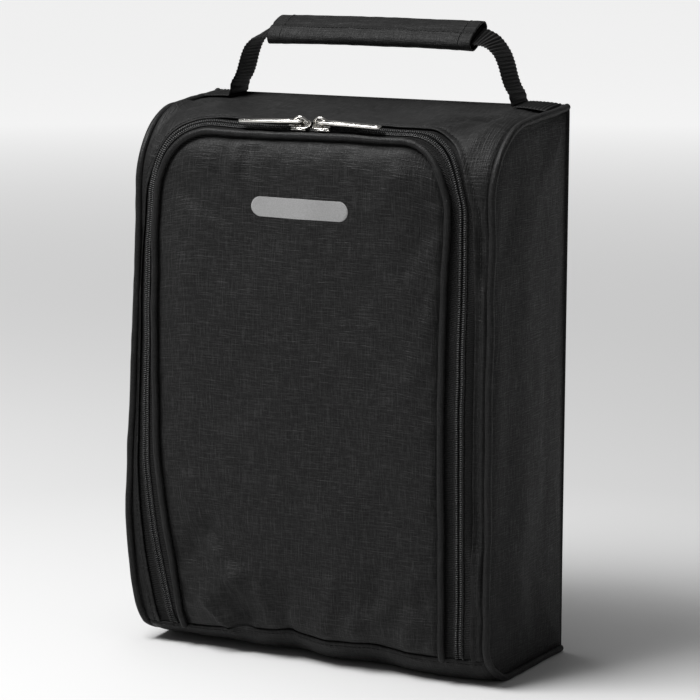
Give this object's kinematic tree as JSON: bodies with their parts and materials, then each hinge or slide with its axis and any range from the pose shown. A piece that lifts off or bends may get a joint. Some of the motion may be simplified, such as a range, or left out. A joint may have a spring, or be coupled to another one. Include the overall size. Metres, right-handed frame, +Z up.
{
  "type": "shoe bag",
  "caption": "Upright padded shoe bag with a zipped drop-down front, piped side panels and a padded webbing handle on top.",
  "frame": {"origin": "middle of the footprint, on the surface that the bag stands on", "axes": "+X to the bag's left as it faces you (the viewer's right), +Y to its back, +Z up"},
  "size_m": [0.25, 0.107, 0.3836],
  "materials": {
    "shell_cloth": "satin slubbed polyester",
    "door_cloth": "satin slubbed polyester",
    "lining": "plain weave, matt",
    "foam": "soft closed-cell foam",
    "board": "stiff sheet",
    "piping": "satin cloth over cord",
    "binding": "woven tape",
    "zip_tape": "ribbed woven tape",
    "zip_coil": "fine nylon coil",
    "webbing": "ribbed woven webbing",
    "label": "smooth silver-grey transfer",
    "nickel": "bright nickel plate",
    "sleeve_cloth": "satin slubbed polyester"
  },
  "bodies": {
    "shell": {"back_panel": "shell_cloth", "back_foam": "foam", "back_lining": "lining", "left_gusset": "shell_cloth", "right_gusset": "shell_cloth", "left_gusset_lining": "lining", "right_gusset_lining": "lining", "surround_panel": "shell_cloth", "surround_lining": "lining", "base_panel": "shell_cloth", "base_board": "board", "base_lining": "lining", "left_side_piping": "piping", "right_side_piping": "piping", "left_seam_binding": "binding", "right_seam_binding": "binding", "outer_zip_tape": "zip_tape", "outer_zip_coil": "zip_coil", "left_strap_foot": "webbing", "right_strap_foot": "webbing"},
    "door": {"door_panel": "door_cloth", "door_foam": "foam", "door_lining": "lining", "door_piping": "piping", "inner_zip_tape": "zip_tape", "inner_zip_coil": "zip_coil", "door_label": "label"},
    "left_slider": {"left_slider_body": "nickel"},
    "right_slider": {"right_slider_body": "nickel"},
    "left_zip_pull": {"left_pull": "nickel"},
    "right_zip_pull": {"right_pull": "nickel"},
    "handle": {"handle_webbing": "webbing", "grip_sleeve": "sleeve_cloth", "grip_padding": "foam"}
  },
  "joints": [
    {"name": "door_hinge", "type": "hinge", "parent": "shell", "child": "door", "pos_m": [0, -0.0492, 0.0161], "axis": [1, 0, 0], "range_deg": [0, 92]},
    {"name": "handle_hinge", "type": "hinge", "parent": "shell", "child": "handle", "pos_m": [0, 0.0415, 0.33656], "axis": [1, 0, 0], "range_deg": [-85, 75]},
    {"name": "left_slider_run", "type": "slide", "parent": "door", "child": "left_slider", "axis": [-1, 0, 0], "range_m": [0, 0.04]},
    {"name": "right_slider_run", "type": "slide", "parent": "door", "child": "right_slider", "axis": [1, 0, 0], "range_m": [0, 0.04]},
    {"name": "left_pull_hinge", "type": "hinge", "parent": "left_slider", "child": "left_zip_pull", "pos_m": [-0.0072, -0.03915, 0.32632], "axis": [0, 0.8457, 0.5336], "range_deg": [0, 90]},
    {"name": "right_pull_hinge", "type": "hinge", "parent": "right_slider", "child": "right_zip_pull", "pos_m": [0.0072, -0.03915, 0.32632], "axis": [0, -0.8457, -0.5336], "range_deg": [0, 90]}
  ]
}
